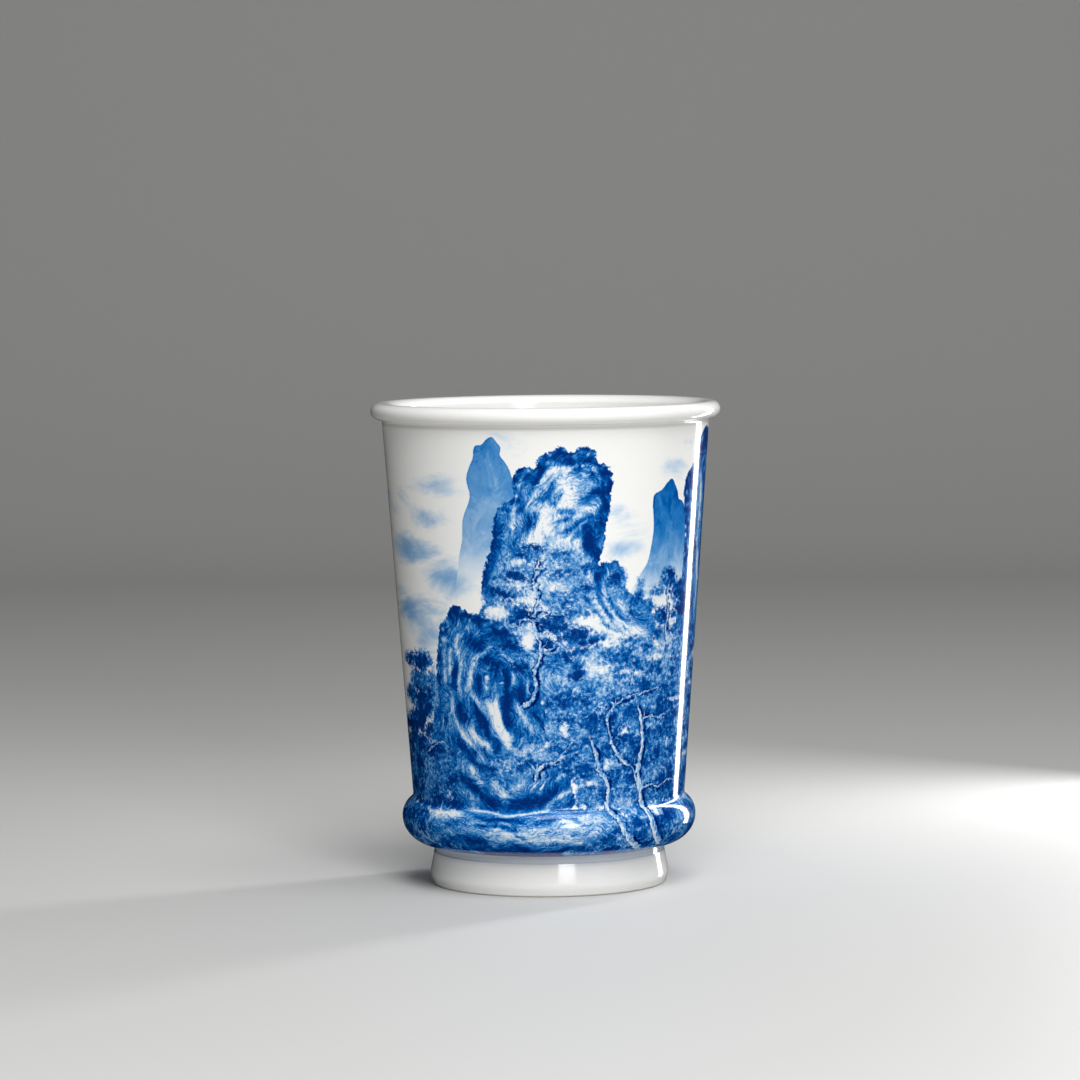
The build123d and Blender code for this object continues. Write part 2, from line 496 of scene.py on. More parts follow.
# Rocks, from back to front: outline, centre and stretch of the strokes' rings, tone within, tone
# of the shaded edge, and how deep the shade goes in
rocks = [
    ([(43, 60), (44.5, 80), (46, 95), (45, 108), (44, 113), (46, 118.6), (49, 121), (52, 127),
      (58, 131), (66, 129), (72, 125), (77, 116), (79, 104), (84, 92), (88, 80), (92, 60)],
     (72, 84), (1.0, 1.9), 0.52, 0.92, 4.0),
    ([(-126, 40), (-122, 66), (-119, 76), (-114, 84), (-108, 93), (-104, 98), (-99, 99.5),
      (-95, 96), (-92, 88), (-87, 80), (-82, 72), (-76, 60), (-74, 40)],
     (-92, 68), (1.0, 1.6), 0.42, 0.88, 3.0),
    ([(94, 30), (96, 58), (101, 70), (107, 76), (113, 79), (119, 76), (124, 68), (128, 56),
      (130, 30)],
     (120, 52), (1.0, 1.5), 0.45, 0.85, 2.6),
    ([(-20, 72), (-18.6, 88), (-17, 95), (-15.2, 100), (-14.8, 105), (-13.6, 109), (-11.4, 111.6),
      (-9, 112.6), (-9, 118), (-7.6, 120.6), (-5.5, 121.8), (-3, 121.2), (-1.6, 124.6),
      (0.4, 125.8), (3.6, 127), (6, 125.4), (8, 126.4), (10.4, 127.2), (12.8, 125.8),
      (13.6, 123), (15.6, 122.2), (17.2, 120), (18, 117), (17.4, 112), (17.4, 108), (16, 104),
      (15.8, 99), (14.6, 95), (16, 88), (20, 80), (27, 75), (33, 72), (30, 60), (0, 56),
      (-20, 60)],
     (10, 99), (1.0, 1.7), 0.34, 0.84, 2.6),
    ([(13.6, 92), (15, 94.6), (19, 95), (21.6, 93), (22.6, 89.5), (23.6, 86), (26, 84.2),
      (27, 87.8), (28.6, 84), (31.6, 83.6), (32.6, 79), (34, 74), (30, 71), (24, 73.6),
      (19, 77.6), (16, 83)],
     (36, 101), (1.0, 1.05), 0.58, 0.80, 1.6),
    ([(-41, 24), (-40, 46), (-37.4, 58), (-36, 66), (-35, 72), (-33.6, 77), (-31, 79),
      (-29.4, 81.8), (-26, 82.2), (-23, 81), (-20, 80.4), (-17, 80.6), (-15.2, 78.2),
      (-11.6, 76), (-8, 71.6), (-6.4, 68.6), (-4, 60), (0, 52), (4, 44), (6, 36), (4, 24)],
     (-13, 56), (1.0, 1.5), 0.58, 0.84, 2.6),
    ([(-44, 5), (-44, 24.5), (-27, 24.8), (-12, 23.4), (2, 25.6), (20, 25), (34, 25.6),
      (46, 24.5), (52, 16), (50, 3), (0, 2)],
     (0, 160), (1.6, 1.0), 0.50, 0.66, 1.0),
]

# Strokes over the rocks: half width, load (dark is positive), and the path of the brush
rock_strokes = [
    # the tall rock's shaded flank, crown and crevices
    (2.0, 0.22, [(-9.6, 111), (-13, 106), (-13.6, 100), (-16, 95), (-17.4, 90), (-18, 84)]),
    (1.3, 0.32, [(-7.6, 120), (-8, 114), (-6, 110), (-5, 106), (-8, 102), (-11, 96)]),
    (2.0, 0.40, [(-6, 119.6), (-2.6, 119.6), (0, 123.6), (5, 124.6), (8, 122.6), (11, 125)]),
    (2.4, 0.36, [(11, 124), (13.6, 120), (16, 117), (15.6, 112), (16, 107), (12.6, 104.6)]),
    (1.6, 0.45, [(12, 106), (11, 101), (13.6, 97), (14.6, 92), (14, 86)]),
    (1.0, 0.40, [(-1.6, 118.6), (-3.8, 114.6), (-5, 111)]),
    (1.0, 0.42, [(2, 117.6), (1, 114.4), (-2, 112)]),
    (0.8, 0.38, [(4, 115.6), (3, 112.6), (1.6, 111)]),
    (1.2, 0.42, [(-3, 109.6), (-3, 106.6), (-5, 105)]),
    (0.8, 0.45, [(2.6, 108.6), (5, 109.4), (7.6, 108.8)]),
    (0.6, 0.35, [(1, 106), (4, 106.6), (6.6, 107.6)]),
    (1.0, 0.45, [(8, 112), (11, 112.6), (13, 114.6), (16, 114)]),
    (0.8, 0.45, [(3.6, 103), (7, 104.6), (10, 107), (13, 108)]),
    (0.8, 0.45, [(6, 100.6), (8.6, 103), (11.6, 106)]),
    (1.6, 0.50, [(7.6, 96.6), (10.6, 98.6), (12, 103)]),
    (0.45, 0.5, [(10, 86), (12, 83), (14.6, 79.6), (18, 76.4), (22, 74.6)]),
    (0.45, 0.5, [(13.4, 93), (13.6, 88), (15.6, 82.6), (19, 78.4)]),
    (0.4, 0.5, [(16.4, 90), (18, 84), (20.6, 80), (24, 77.4)]),
    # its lit face and pale ledges, and the mist behind the pine
    (5.0, -0.30, [(-12, 90), (-7, 85), (-1, 79), (6, 74), (10, 68)]),
    (3.4, -0.12, [(-8, 97), (-2, 93), (4, 89), (8, 85)]),
    (2.2, -0.42, [(8, 83), (12, 77.6), (18, 74), (25, 72.6), (31, 73)]),
    (2.6, -0.42, [(3, 119), (5.6, 116), (5.6, 112), (3.6, 110)]),
    (2.0, -0.40, [(-0.6, 111), (-1, 107), (-2.6, 102), (-5.6, 100)]),
    (0.5, -0.40, [(-9, 99), (-9, 107), (-8, 113), (-6.4, 118.6)]),
    (0.9, -0.42, [(-6, 108), (-4, 113), (-1, 118), (3, 121), (7.6, 121)]),
    (0.5, -0.40, [(4, 119), (8, 122), (12, 121.4), (14.6, 118)]),
    (1.2, -0.30, [(1, 104), (4, 101.6), (8, 101), (9.6, 96)]),
    (0.7, -0.35, [(9, 110), (12, 110), (14.6, 110.6)]),
    (1.5, -0.40, [(11.6, 98), (12, 90), (15, 82.6), (20, 76.6), (28, 73.4)]),
    (1.3, -0.45, [(9, 84), (12, 79), (17, 74), (24, 72.4)]),
    (1.6, -0.40, [(15.6, 93), (16.4, 87), (19.4, 80.6), (24.6, 76.4), (32, 74)]),
    (0.9, -0.40, [(18.6, 93), (19.4, 87), (22, 81.6), (26, 78.6)]),
    # the round boulder: its crown, hollows and dark undersides
    (2.0, 0.36, [(-31, 79), (-27, 81), (-23, 80), (-18, 79), (-13.6, 75.6), (-9.6, 71), (-7, 69)]),
    (1.2, 0.12, [(-33.6, 75), (-35.4, 67), (-36, 59)]),
    (1.8, 0.45, [(-24, 73), (-21, 72), (-19, 69.6)]),
    (1.9, 0.45, [(-19, 68), (-16.6, 67), (-14.6, 64.6)]),
    (1.2, 0.45, [(-28, 66), (-29, 62), (-28.6, 58.6)]),
    (1.7, 0.45, [(-27.6, 56), (-27.6, 52), (-25.6, 49.6)]),
    (1.5, 0.40, [(-23, 53), (-21, 51), (-19.4, 47.6)]),
    (1.3, 0.40, [(-21, 64), (-20.6, 60), (-20, 57.6)]),
    (1.6, 0.50, [(-12.6, 66), (-11.8, 58), (-13, 52), (-10.6, 46.6)]),
    (1.7, 0.40, [(-8, 61), (-8, 57), (-7, 54.6)]),
    (1.6, 0.40, [(-17, 45), (-15.4, 43.6), (-14.6, 41.6)]),
    (2.2, 0.25, [(-14, 40), (-6, 39), (0, 40)]),
    (1.7, 0.35, [(-30, 44), (-26, 42), (-21, 41)]),
    (0.8, 0.40, [(-27, 40), (-21.6, 37.4), (-15, 35.6)]),
    (1.4, 0.50, [(-30, 35), (-25, 32), (-20, 28), (-15, 25.8)]),
    (1.5, 0.50, [(-13, 26.6), (-7, 27.4), (-1, 28.6), (3, 31)]),
    (0.5, 0.50, [(-23, 56), (-21.4, 53), (-19, 50), (-18.6, 46), (-16.6, 45)]),
    (0.5, 0.45, [(-4.6, 53), (-2, 50), (-0.6, 46.6)]),
    # its pale folds, one inside another, and the bare white scar down its middle
    (0.8, -0.45, [(-26, 75), (-28, 72), (-26.8, 66), (-28, 59.6), (-27, 56)]),
    (0.8, -0.42, [(-16.6, 71), (-21, 68), (-23, 64), (-24, 59), (-22, 56), (-19, 52)]),
    (1.6, -0.62, [(-19, 57), (-16.6, 53), (-15, 48.6), (-12.6, 44.6), (-11.6, 41)]),
    (0.8, -0.60, [(-15.8, 57), (-15, 53), (-13.8, 49), (-12, 45.6)]),
    (1.0, -0.55, [(-25.6, 49), (-23, 46), (-20.6, 44.2), (-17.4, 43)]),
    (0.8, -0.45, [(-30.6, 58), (-30.2, 52), (-28, 47), (-24, 43), (-20, 39)]),
    (0.6, -0.40, [(-14, 66), (-13.2, 61), (-13.2, 57)]),
    (0.7, -0.45, [(-11.8, 69), (-10, 66), (-10, 62), (-12, 58)]),
    (0.7, -0.35, [(-32, 73), (-33, 66), (-33, 60)]),
    (0.6, -0.35, [(-30, 72), (-30.6, 65), (-31, 60)]),
    (0.7, -0.40, [(-14.6, 72), (-13, 70.4), (-12.6, 68)]),
    (0.9, -0.40, [(-18, 63.6), (-18.4, 61), (-18, 58.6)]),
    (0.5, -0.35, [(-6.6, 61), (-6, 58.6), (-6.6, 56)]),
    (0.9, -0.45, [(-9.6, 56), (-8, 53), (-6, 50), (-4, 46.6)]),
    (1.2, -0.38, [(-18, 34), (-15.6, 31), (-13, 28.6)]),
    (1.4, -0.36, [(-12, 31), (-9, 32), (-6.6, 34.4)]),
    (0.5, -0.45, [(-2, 37), (-1.6, 33.6), (-3, 30)]),
    (0.5, -0.40, [(-4, 37), (-4, 33), (-6, 30)]),
    (1.1, -0.40, [(-25, 38), (-23.6, 34.6), (-21, 31.6)]),
    (1.6, -0.40, [(-37, 33), (-34.6, 29), (-33, 26)]),
    (0.8, -0.45, [(2, 34), (6, 35.6), (9, 33)]),
    (0.8, -0.40, [(-1, 26), (2, 28.6), (6, 30.4), (9, 31.4)]),
    # the shore and the water on the roll
    (0.55, -0.60, [(-27, 24.8), (-19, 24.2), (-13, 22.9), (-7, 23.8), (1, 25.6)]),
    (1.6, -0.24, [(-24, 18.6), (-12, 17.6), (0, 19), (10, 18), (18, 19.6)]),
    (1.0, -0.35, [(-8, 15.6), (2, 16), (12, 14.6)]),
    (0.6, 0.40, [(-24, 22.6), (-18, 21.4), (-12, 21.8), (-7, 20.6)]),
    (0.5, 0.40, [(-22, 19.6), (-14, 19.8), (-8, 18.4)]),
    (0.5, 0.40, [(-4, 21), (4, 22.4), (10, 20.6)]),
    (1.5, 0.45, [(-26, 15), (-22, 15.4), (-18, 14.6)]),
    (1.4, 0.45, [(-16, 12.6), (-11, 13.4), (-6, 12)]),
    (1.6, 0.45, [(2, 11), (8, 12.4), (16, 11), (24, 12.6), (34, 11)]),
    (1.4, 0.30, [(-42, 18), (-36, 16), (-30, 15), (-26, 17)]),
    # a wide dark band along the roll's underside: partly cobalt, partly painted shade where the roll
    # overhangs the foot
    (3.0, 0.75, [(-56, 8.6), (-30, 9.2), (-10, 8.6), (14, 9), (40, 8.6), (60, 8.6)]),
    (1.1, 0.35, [(-60, 12), (-44, 13), (-32, 11.4)]),
    (1.6, -0.42, [(-52, 23.6), (-42, 22.8), (-34, 22.6), (-26, 23.4)]),
    (1.3, -0.40, [(2, 22.2), (9, 21.2), (17, 22.4)]),
    # the cliff on the right and the rocks of the far side
    (2.4, 0.40, [(47, 112), (50, 118), (54, 124), (60, 127), (68, 124), (74, 116)]),
    (1.6, 0.40, [(50, 106), (53, 96), (52, 86), (56, 76)]),
    (1.4, 0.40, [(60, 118), (63, 108), (62, 98), (66, 86)]),
    (1.6, 0.40, [(72, 112), (74, 100), (78, 90), (82, 80)]),
    (1.0, -0.40, [(55, 120), (57, 110), (56, 99), (59, 88), (58, 78)]),
    (1.3, -0.45, [(66, 121), (69, 110), (68, 99), (72, 88), (73, 78)]),
    (0.7, -0.35, [(50, 112), (51, 102), (49, 92)]),
    (0.8, -0.40, [(76, 108), (78, 98), (82, 90)]),
    (1.6, 0.40, [(-118, 74), (-112, 84), (-105, 92), (-98, 94), (-94, 88)]),
    (1.2, 0.35, [(-104, 84), (-100, 74), (-102, 64)]),
    (1.3, -0.45, [(-110, 80), (-108, 70), (-111, 60)]),
    (1.5, -0.50, [(-99, 88), (-95, 78), (-96, 68), (-92, 60)]),
    (1.0, -0.40, [(-90, 78), (-87, 70), (-86, 62)]),
    (1.4, 0.40, [(98, 62), (103, 71), (111, 76), (118, 73)]),
    (1.2, -0.45, [(104, 68), (106, 60), (104, 52)]),
    (1.3, -0.45, [(114, 70), (117, 61), (115, 52)]),
]

# Foliage: centre, reach and tone of each clump of needles or leaves
clumps = [
    # the pine in front of the tall rock
    ((-4, 97.6), (4.6, 2.1), 0.95), ((3, 96.4), (3.4, 1.8), 0.95), ((-8.6, 91.4), (4.4, 1.7), 0.9),
    ((-12.4, 86.4), (4.6, 1.9), 0.86), ((-5, 92), (2.4, 1.5), 0.72), ((5, 91.8), (5, 1.9), 0.95),
    ((9, 88.2), (4, 2.4), 0.95), ((10.6, 93.4), (3, 1.6), 0.84), ((-8.6, 80.6), (5, 2.5), 0.86),
    ((4.4, 84.4), (4.8, 2.3), 0.80), ((9.4, 81.4), (3.6, 1.8), 0.80), ((2.6, 77.6), (5.2, 2.7), 0.80),
    ((8.4, 74), (5, 2.8), 0.80), ((13.4, 73.2), (3.8, 1.7), 0.76), ((9, 69.6), (3, 1.8), 0.70),
    ((-10.6, 72), (3.8, 2.2), 0.88), ((3, 67.4), (4.2, 3.4), 0.92), ((8, 64), (2.8, 2.8), 0.92),
    ((0, 71.6), (4, 2.2), 0.72), ((-8, 67), (3, 3), 0.80),
    # the trees behind the ridge
    ((38.8, 89), (3.2, 3), 1.05), ((45, 85.4), (4.6, 3.4), 1.05), ((34, 86), (2.2, 1.2), 0.8),
    ((27.6, 86), (1.2, 2.8), 0.85), ((36, 78.6), (4, 2.4), 0.9), ((46.6, 81), (4.4, 3.4), 1.0),
    ((37, 73.4), (4.2, 2.8), 0.88), ((42, 78.4), (3, 1.1), 0.75), ((20, 89), (2.8, 4), 0.85),
    ((24.6, 82), (1.4, 3), 0.85), ((31.6, 81), (1.2, 3), 0.8), ((43, 74), (3, 1.4), 0.75),
    # the dark trees on the left
    ((-51, 66), (4.4, 1.8), 0.95), ((-44, 66), (5.4, 3.0), 1.0), ((-45.6, 60), (6, 3.2), 1.1),
    ((-44, 53.6), (5.4, 4), 1.1), ((-49, 49), (5.8, 3.4), 1.1), ((-54.6, 47.6), (4, 2.4), 1.0),
    ((-39.6, 46.4), (4, 2.2), 1.0), ((-52, 56), (5, 2.6), 1.0), ((-39.6, 58), (3, 5.4), 0.9),
    # the pines and bushes of the far side
    ((-72, 62), (6, 2.6), 0.8), ((-76, 67), (4, 2.2), 0.85), ((-69, 57), (5, 2.4), 0.75),
    ((-61, 48), (5, 2.6), 0.8), ((-95, 60), (6, 2.6), 0.75), ((-99, 54), (4, 2), 0.8),
    ((-108, 58), (5.4, 2.6), 0.8), ((-113, 52), (4, 2.4), 0.75), ((-125, 50), (5, 3), 0.8),
    ((-131, 62), (5, 2.6), 0.8), ((-135, 57), (6, 2.6), 0.75), ((84, 66), (6, 2.8), 0.8),
    ((89, 71), (4, 2), 0.85), ((78, 72), (5, 2.2), 0.8), ((97, 53), (5, 3), 0.8),
    ((103, 60), (4.4, 2.6), 0.8), ((110, 61), (5, 2.6), 0.85), ((118, 59), (4, 2.2), 0.75),
    ((52, 66), (5, 3), 0.8), ((58, 72), (5, 2.4), 0.85), ((66, 76), (4, 2), 0.8),
]

# Wide stands of foliage, drawn as outlines, with their tone
stands = [
    ([(14, 67), (17, 70.4), (23, 73), (31, 72.4), (36, 70), (42, 72.6), (50, 76), (62, 74),
      (74, 70), (84, 72), (92, 66), (96, 54), (98, 40), (96, 25.6), (40, 25.4), (14, 25.4),
      (8, 28), (9, 32), (3, 36), (-4, 41), (-8, 42), (-2, 46), (0, 51), (-1, 57), (6, 61),
      (10, 59.6), (14, 61.4), (12, 64.6)], 0.66),
    ([(-60, 25), (-62, 38), (-56, 46), (-48, 45), (-40, 43.4), (-33, 42), (-29, 38), (-31, 30),
      (-30, 24.6)], 0.82),
    ([(-20, 38), (-14, 41), (-9, 42), (-3, 39), (-6, 35.6), (-14, 34.6), (-19, 35.6)], 0.80),
    ([(96, 24), (98, 44), (103, 56), (110, 60), (117, 56), (124, 60), (131, 66), (138, 63),
      (146, 55), (150, 62), (158, 68), (166, 62), (176, 66), (184, 60), (192, 57), (202, 50),
      (210, 44), (210, 24)], 0.66),
    ([(20, 5), (20, 20), (24, 24.8), (34, 25.4), (46, 24.6), (70, 25.6), (110, 24.8),
      (150, 25.4), (190, 24.8), (222, 25), (232, 18), (232, 5)], 0.70),
]

# Gaps of bare glaze between the clumps: centre, reach and how white
gaps = [
    ((12, 22), (4, 1.2), 0.5), ((35, 24), (3, 1.2), 0.9),
    ((-14.4, 80.8), (4.4, 1.9), 1.0), ((-19.8, 84), (2.4, 2.6), 0.9),
    ((15, 64.6), (4.2, 1.9), 0.85), ((12, 68), (2, 2.4), 0.4), ((-5.6, 73), (2.2, 2.6), 1.0),
    ((13, 78.6), (3.6, 1.6), 0.8),
    ((-7, 95), (3.6, 0.9), 0.7), ((-9, 88.6), (3, 0.8), 0.75), ((2, 88), (2.6, 0.8), 0.45),
    ((9, 97.4), (1.6, 1.5), 0.7), ((9, 78), (3.4, 1), 0.75), ((18, 71.8), (4, 1.3), 0.7),
    ((23, 63.6), (3, 0.8), 0.8), ((28, 63.2), (2, 0.7), 0.75), ((8, 58.4), (1.4, 1.4), 0.75),
    ((4.8, 48), (1.5, 2.2), 0.8), ((46, 54.6), (5, 0.7), 0.8),
    ((34, 67), (4, 1.2), 0.75), ((44, 66.6), (4, 0.7), 0.6), ((18, 37.6), (1.3, 1.8), 0.75),
    ((12, 32.4), (4, 1), 0.7), ((23.4, 46.8), (2.4, 1.6), 0.55), ((35.6, 82), (2.6, 1.4), 0.5),
    ((-0.6, 44), (2.4, 1), 0.7), ((-40, 43.4), (3, 0.9), 0.6), ((36, 22.6), (3, 1.4), 0.75),
    ((25, 22.8), (3, 1), 0.6), ((-34, 28), (2.4, 1.6), 0.5), ((40, 35), (4, 0.8), 0.4),
    ((60, 58), (6, 1), 0.7), ((72, 46), (5, 1), 0.6), ((84, 58), (4, 1.6), 0.7),
    ((108, 50), (5, 1.2), 0.7), ((124, 44), (5, 1.2), 0.7), ((-118, 50), (6, 1.4), 0.7),
    ((-100, 44), (5, 1.2), 0.7), ((-84, 52), (5, 1.6), 0.7), ((-70, 36), (4, 1.4), 0.6),
    ((-114, 34), (6, 2), 0.8), ((-98, 32), (4, 1.6), 0.8), ((-84, 38), (5, 2.2), 0.9),
    ((-62, 50), (5, 2), 0.8), ((-78, 60), (4, 1.6), 0.8), ((-130, 56), (5, 2), 0.8),
    ((118, 30), (6, 1.8), 0.8), ((104, 36), (4, 1.6), 0.8), ((92, 44), (4, 2.2), 0.8),
    ((78, 34), (5, 1.8), 0.8), ((64, 66), (6, 1.8), 0.9), ((58, 38), (4, 1.4), 0.7),
    ((90, 66), (4, 2), 0.8), ((-104, 60), (4, 2.4), 0.8), ((-90, 20), (7, 1.6), 0.8),
    ((-118, 18), (6, 1.4), 0.7), ((66, 18), (6, 1.4), 0.7), ((104, 17), (7, 1.6), 0.8),
]

# Trunks and branches: half width in mm, and the path from the root or fork to the tip
trunks = [
    (0.55, [(-7.4, 54.6), (-4.6, 56.4), (-3.4, 60), (-4, 64), (-2.5, 67), (-1.8, 71), (-3, 75),
            (-3.8, 79), (-3.2, 82), (-2.7, 86), (-3.8, 89), (-3, 92), (-2.4, 95.4)]),
    (0.35, [(-3.2, 82), (0, 81.4), (3, 80.2), (5, 81)]),
    (0.35, [(-3.6, 79.4), (-6.6, 79), (-8, 77.4), (-9.6, 76)]),
    (0.40, [(-1.8, 70.6), (0.6, 70.6), (2.6, 72.2), (4.6, 71.6), (5.6, 69.6)]),
    (0.30, [(-3, 91.6), (-0.4, 93.6), (3, 94.4)]),
    (0.30, [(-3.6, 88.6), (-6, 88), (-8, 86)]),
    (0.85, [(29, 12), (25.6, 14.6), (22.6, 18), (20.4, 22), (18.6, 26), (19, 30), (18, 33.4),
            (16, 35.8), (15.2, 38.4), (14.4, 41.2), (13.2, 44.4)]),
    (0.40, [(16, 35.8), (14.6, 36.4), (14.4, 37.8)]),
    (0.90, [(38, 12.6), (35, 15.4), (33, 19), (32.2, 23), (31.2, 27), (30.4, 31), (29.5, 34.4),
            (29.8, 38), (30.7, 42), (30.7, 46), (30, 49.6), (29, 52.6)]),
    (0.40, [(30.2, 49.4), (33, 50.6), (37, 50), (41.6, 51)]),
    (0.45, [(29.6, 31.6), (28.4, 34), (27.4, 36), (26.4, 36.8)]),
    (0.40, [(31, 30), (35, 31), (39, 29.8), (44, 31.6), (49.6, 30.4)]),
    (0.45, [(26.4, 36.8), (23, 38.8), (20.4, 42), (18.8, 46), (17.9, 50), (18.4, 52.6),
            (20.4, 54.6), (23.6, 56), (28, 57), (33, 57.6), (38, 59.4)]),
    (0.32, [(18.4, 52.6), (16, 54.4), (13.6, 53), (10.4, 51.2)]),
    (0.28, [(20.2, 54.8), (17.6, 55.4), (16, 57)]),
    (0.45, [(-4, 34), (-3.2, 36.8), (-1, 38.2), (2, 39), (4.6, 41.6), (7.4, 44.8)]),
    (0.30, [(-3.4, 36.6), (-5.6, 38.4), (-7.4, 41.6)]),
    (0.35, [(-43, 40.6), (-39, 42.6), (-36, 43.4), (-33, 42)]),
    (0.30, [(25.6, 60), (26, 62.6), (25.4, 65.4)]),
    (0.50, [(39.4, 72), (38.8, 76), (39.6, 80), (38.6, 84), (39.4, 88)]),
    (0.70, [(66, 27), (64, 35), (66, 43), (63, 51), (65, 59)]),
    (0.40, [(64.6, 47), (69, 50), (74, 49), (78, 52)]),
    (0.75, [(112, 26), (114, 35), (111, 43), (113, 51), (110, 59)]),
    (0.40, [(112, 45), (107, 48), (102, 46)]),
    (0.80, [(-92, 12), (-94, 22), (-92, 31), (-95, 40), (-93, 49), (-96, 57)]),
    (0.40, [(-94, 44), (-89, 47), (-84, 46), (-80, 49)]),
    (0.70, [(-126, 14), (-124, 26), (-127, 36), (-124, 46)]),
    (0.40, [(-126, 32), (-131, 37), (-133, 43), (-138, 46)]),
    (0.60, [(-108, 20), (-106, 29), (-109, 37), (-106, 46), (-108, 55)]),
    (0.35, [(-107.6, 40), (-112, 44), (-114, 49)]),
    (0.65, [(-72, 16), (-70, 25), (-73, 33), (-71, 41), (-74, 50), (-72, 58)]),
    (0.38, [(-72.4, 36), (-67, 39), (-63, 43), (-59, 44)]),
    (0.60, [(84, 18), (86, 28), (83, 37), (86, 46), (84, 55), (86, 63)]),
    (0.36, [(84, 42), (79, 45), (75, 44), (71, 46)]),
    (0.55, [(50, 26), (52, 35), (50, 43), (53, 52), (52, 62)]),
    (0.34, [(51, 46), (56, 49), (60, 48)]),
    (0.60, [(98, 22), (96, 32), (99, 41), (97, 50)]),
    (0.34, [(97.6, 40), (102, 44), (106, 43)]),
]

# Clouds: centre, reach and strength of each drift of pale wash in the sky
clouds = [
    ((-32, 116), (16, 5), 0.6), ((-34, 106), (18, 7), 1.0), ((-46, 98), (20, 9), 1.0),
    ((-54, 108), (16, 8), 0.9), ((-30, 90), (18, 8), 1.2), ((-48, 80), (22, 10), 1.25),
    ((-42, 72), (14, 8), 1.1), ((23, 107), (12, 8), 0.8), ((21, 98), (9, 6), 0.7),
    ((40, 121), (14, 5), 0.9), ((47, 127), (12, 4), 0.8), ((90, 118), (18, 7), 0.8),
    ((118, 112), (20, 9), 0.9), ((128, 94), (20, 11), 0.9), ((-68, 108), (20, 10), 0.9),
    ((-76, 88), (18, 10), 0.9), ((-96, 114), (18, 7), 0.8), ((-130, 119), (14, 6), 0.6),
]


def paint(piece, sheet, count):
    """Works the flat design out at each of a piece's outside vertices, which come first in its
    mesh, and stores it as the attributes that the painted glaze reads: distance inside an edge,
    tone and so on."""
    vertices = len(piece.data.vertices)

    edge, tone = np.full(count, -9.0), np.zeros(count)
    for outline, top, foot, high, low in far_peaks:
        inside = sheet.outline(outline)
        level = np.clip((sheet.up - low) / (high - low), 0, 1)
        lost_in_mist = np.clip((sheet.up - low) / 15 + 0.45, 0, 1) ** 1.5
        own = (foot + (top - foot) * level) * lost_in_mist
        tone = np.where(inside > -0.6, own, tone)
        edge = np.maximum(edge, inside)
    mist = np.zeros(count)
    for centre, reach, strength in clouds:
        mist = np.maximum(mist, strength * np.clip(sheet.blob(centre, reach) / min(reach), 0, 1))
    store(piece, "far_peaks", vertices, edge, tone, mist)

    edge, tone = np.full(count, -9.0), np.full(count, 0.5)
    across, crown = sheet.up.copy(), np.zeros(count)
    for outline, centre, stretch, core, shade, depth in rocks:
        inside = sheet.outline(outline)
        shaded = np.exp(-np.clip(inside, 0, None) / depth)
        chosen = inside > -0.4
        tone = np.where(chosen, core + (shade - core) * shaded, tone)
        beside = (sheet.around - centre[0] + girth / 2) % girth - girth / 2
        ring = np.hypot(beside / stretch[0], (sheet.up - centre[1]) / stretch[1])
        across = np.where(chosen, ring, across)
        crown = np.where(chosen, shaded * np.clip((sheet.up - centre[1]) / 12, 0, 1), crown)
        edge = np.maximum(edge, inside)
    for width, load, path in rock_strokes:
        tone = tone + load * sheet.stroke(path, width)
    painted = np.ones(count)
    store(piece, "rocks", vertices, edge, np.clip(tone, -0.2, 1.2), painted)
    store(piece, "brush_flow", vertices, across, crown)

    edge, tone, bare = np.full(count, -9.0), np.full(count, 0.6), np.zeros(count)
    growth = [(sheet.outline(outline), shade) for outline, shade in stands]
    growth += [(sheet.blob(centre, reach), shade) for centre, reach, shade in clumps]
    for inside, shade in growth:
        tone = np.where(inside > edge, shade, tone)
        edge = np.maximum(edge, inside)
    for centre, reach, white in gaps:
        bare = np.maximum(bare, white * np.clip(0.5 + sheet.blob(centre, reach) / min(reach), 0, 1))
    store(piece, "foliage", vertices, edge, tone, bare)

    offset, half, nearest = np.full(count, 9.0), np.zeros(count), np.full(count, 4.0)
    for half_width, path in trunks:
        curve = smooth_path(path)
        chosen, gap, side, share = sheet.follow(curve, 4.0)
        index = np.flatnonzero(chosen)
        closer = gap < nearest[index]
        index, gap, side, share = index[closer], gap[closer], side[closer], share[closer]
        nearest[index] = gap
        offset[index] = gap * side
        fade = np.clip((3.0 - gap) / 1.2, 0, 1)
        half[index] = half_width * (1.25 - 0.55 * share) * fade
    store(piece, "trunks", vertices, offset, half)


def store(piece, name, vertices, *channels):
    """A vector attribute whose first values belong to the outside; the rest stay at zero, as
    does a third channel that isn't given."""
    values = np.zeros((vertices, 3), np.float32)
    values[: len(channels[0]), : len(channels)] = np.stack(channels, axis=1)
    attribute = piece.data.attributes.new(name, "FLOAT_VECTOR", "POINT")
    attribute.data.foreach_set("vector", values.ravel())


def unroll(section_heights, columns):
    """The flat places of an outside whose rings have the given heights in the design: round it,
    the girth's radius times the turn; up it, the ring's height."""
    turn = np.linspace(-np.pi, np.pi, columns, endpoint=False)
    around, up = np.meshgrid(girth_radius * turn, section_heights)
    return FlatSheet(around.ravel(), up.ravel())


paint(tapered_wall, unroll(wall_section[:wall_rows, 1], wall_columns), wall_rows * wall_columns)


